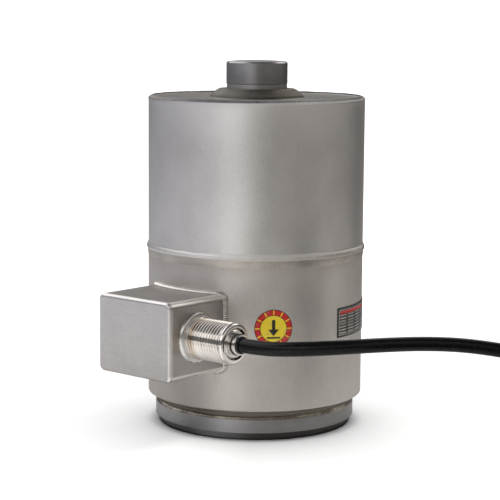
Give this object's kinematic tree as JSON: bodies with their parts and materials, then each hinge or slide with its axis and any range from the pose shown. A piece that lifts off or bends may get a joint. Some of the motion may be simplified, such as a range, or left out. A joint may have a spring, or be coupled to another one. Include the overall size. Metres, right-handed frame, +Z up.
{
  "type": "column load cell",
  "caption": "Welded steel column load cell: a turned load post in a sealed round can, with a side box, a threaded cable gland and a free cable.",
  "frame": {"origin": "centre of the base's underside, on the axis of the can", "axes": "+Z up along the can towards the load button, -Y towards the side box, +X the way the cable leaves the gland"},
  "size_m": [0.3408, 0.144, 0.1706],
  "materials": {
    "shell_steel": "satin turned stainless steel",
    "weld_steel": "rippled weld metal with a faint heat tint",
    "element_steel": "turned alloy steel, dull blue-grey",
    "gland_steel": "bright turned stainless steel",
    "screw_steel": "bright plated screw steel",
    "brass": "plain turned brass",
    "seal_rubber": "black moulded rubber",
    "cable_jacket": "smooth black jacket with a soft gloss",
    "circuit_board": "green glass-epoxy board",
    "gauge_film": "amber film with foil grids",
    "feed_plastic": "white plastic sleeve",
    "harness_jacket": "grey wire bundle",
    "resistor_winding": "lacquered copper wire on a bobbin",
    "lead_red": "red wire insulation",
    "lead_black": "black wire insulation",
    "lead_green": "green wire insulation",
    "lead_white": "white wire insulation",
    "shield_wire": "bare tinned drain wire",
    "tie_plastic": "black moulded tie",
    "sticker_print": "printed round sticker",
    "data_plate_foil": "bare printed foil plate"
  },
  "bodies": {
    "root": {"spring_element": "element_steel", "lower_shell": "shell_steel", "upper_shell": "shell_steel", "top_plate": "shell_steel", "girth_weld": "weld_steel", "top_edge_weld": "weld_steel", "post_weld": "weld_steel", "base_weld": "weld_steel", "box_body": "shell_steel", "box_end_plate": "shell_steel", "box_weld": "weld_steel", "gland_weld": "weld_steel", "gland_nipple": "gland_steel", "gland_inner_washer": "brass", "gland_seal": "seal_rubber", "gland_outer_washer": "brass", "gland_nut": "gland_steel", "exit_bush": "seal_rubber", "terminal_board_front": "circuit_board", "terminal_board_rear": "circuit_board", "board_spacers": "brass", "board_screws": "screw_steel", "feed_sleeve": "feed_plastic", "bridge_harness": "harness_jacket", "trim_board": "circuit_board", "trim_board_posts": "brass", "trim_board_screws": "screw_steel", "cable_inner_end": "cable_jacket", "cable_lead": "cable_jacket", "cable_coil": "cable_jacket", "coil_ties": "tie_plastic", "strain_gauge_right": "gauge_film", "gauge_ribbon_right": "gauge_film", "strain_gauge_rear": "gauge_film", "gauge_ribbon_rear": "gauge_film", "strain_gauge_left": "gauge_film", "gauge_ribbon_left": "gauge_film", "strain_gauge_front": "gauge_film", "gauge_ribbon_front": "gauge_film", "trim_resistor_1": "resistor_winding", "trim_resistor_2": "resistor_winding", "trim_resistor_3": "resistor_winding", "trim_resistor_4": "resistor_winding", "inner_lead_red": "lead_red", "lead_red": "lead_red", "inner_lead_black": "lead_black", "lead_black": "lead_black", "inner_lead_green": "lead_green", "lead_green": "lead_green", "inner_lead_white": "lead_white", "lead_white": "lead_white", "inner_lead_shield": "shield_wire", "lead_shield": "shield_wire"}
  },
  "joints": []
}
